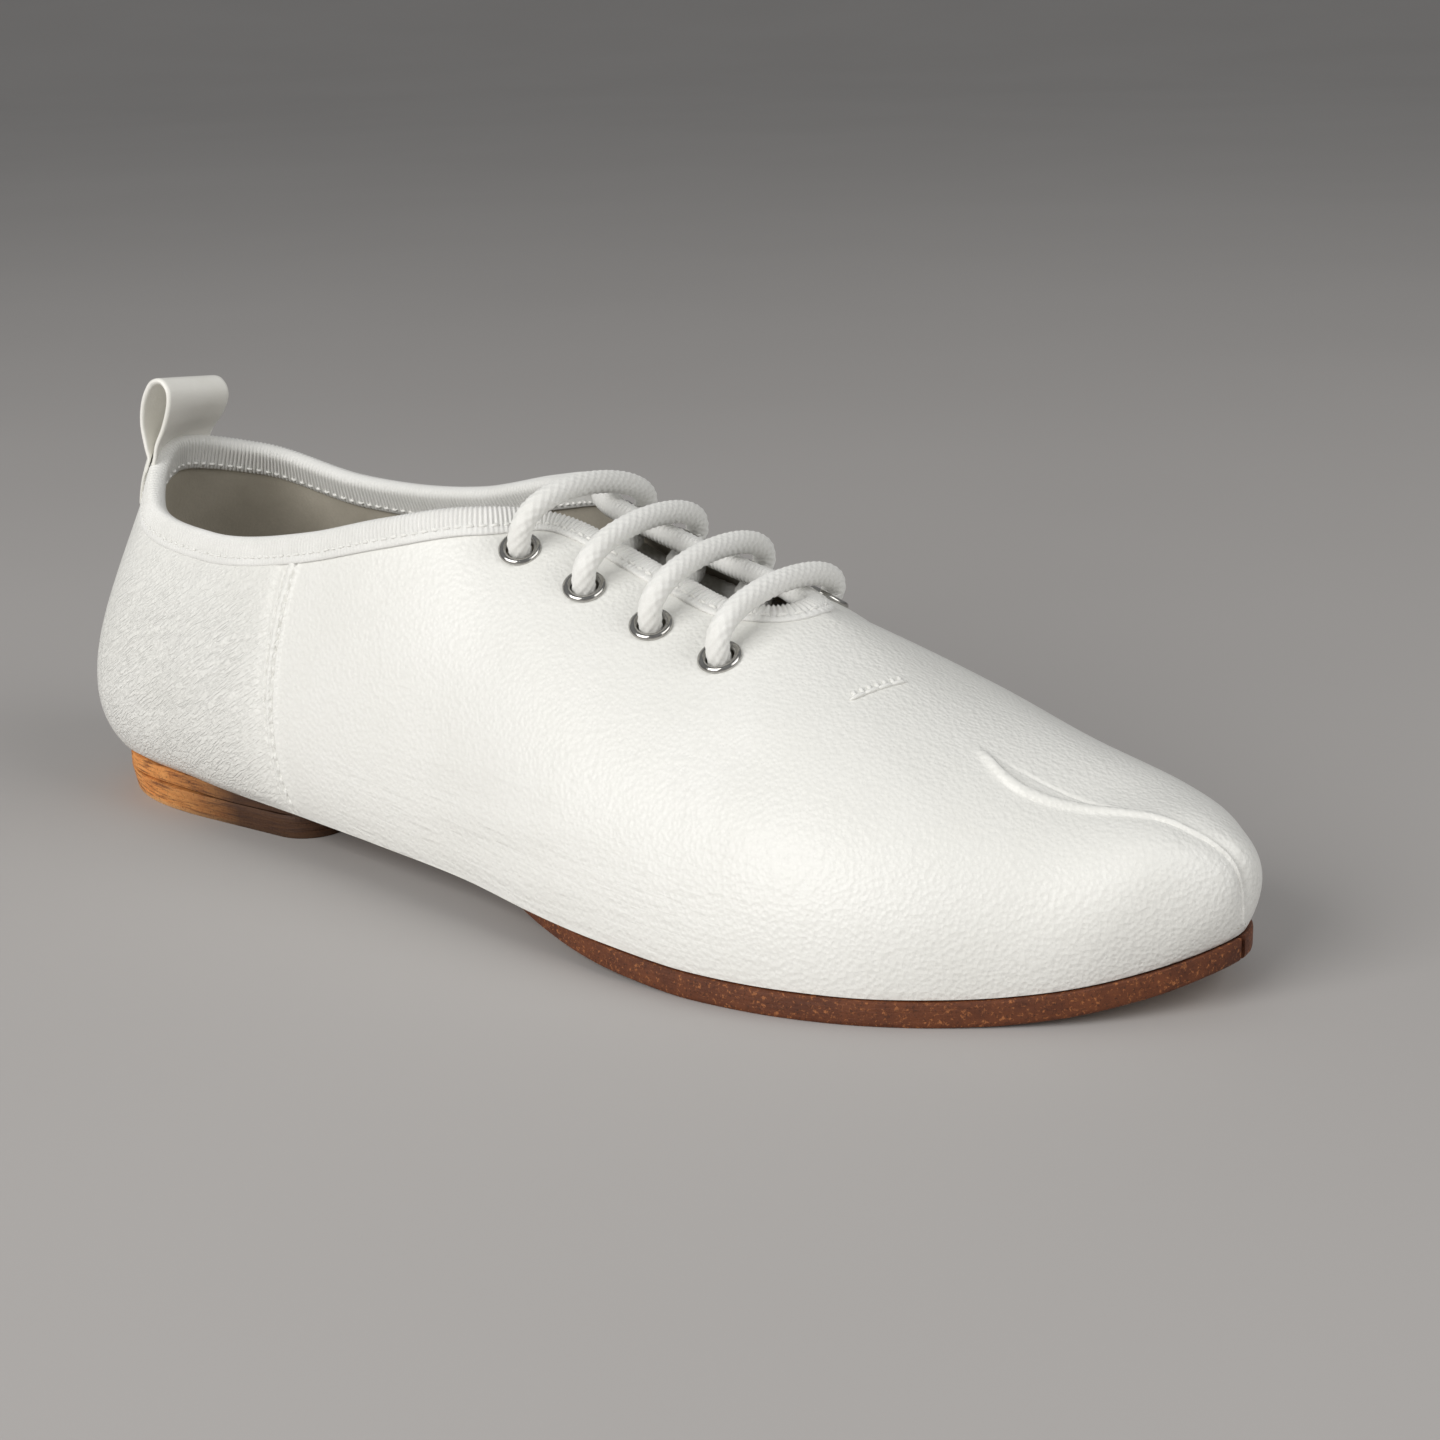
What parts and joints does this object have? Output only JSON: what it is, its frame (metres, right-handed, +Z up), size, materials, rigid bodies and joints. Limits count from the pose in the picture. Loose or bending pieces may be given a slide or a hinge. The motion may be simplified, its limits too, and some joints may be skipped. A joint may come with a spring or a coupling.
{
  "type": "split-toe lace-up shoe",
  "caption": "Low split-toe lace-up shoe: white leather upper with taped collar and throat, round cord lace through metal eyelets, heel pull loop, leather sole and low stacked heel.",
  "frame": {"origin": "middle of the whole shoe's box, on the floor it stands on", "axes": "+X from the heel to the toe, +Y to the inner (medial) side of the foot, +Z up"},
  "size_m": [0.2544, 0.0878, 0.0851],
  "materials": {
    "white_leather": "satin, fine grain",
    "ribbed_tape": "matt, ribbed",
    "loop_leather": "smooth satin",
    "lace_cord": "matt braid",
    "nickel": "polished",
    "sole_leather": "burnished edge",
    "heel_leather": "burnished stacked layers",
    "insole_leather": "matt"
  },
  "bodies": {
    "root": {"outsole": "sole_leather", "heel_lift": "heel_leather", "insole": "insole_leather", "upper": "white_leather", "binding": "ribbed_tape", "pull_loop": "loop_leather", "eyelet_lateral_1": "nickel", "eyelet_lateral_2": "nickel", "eyelet_lateral_3": "nickel", "eyelet_lateral_4": "nickel", "eyelet_medial_1": "nickel", "eyelet_medial_2": "nickel", "eyelet_medial_3": "nickel", "eyelet_medial_4": "nickel", "lace_bar_1": "lace_cord", "lace_bar_2": "lace_cord", "lace_bar_3": "lace_cord", "lace_bar_4": "lace_cord"}
  },
  "joints": []
}
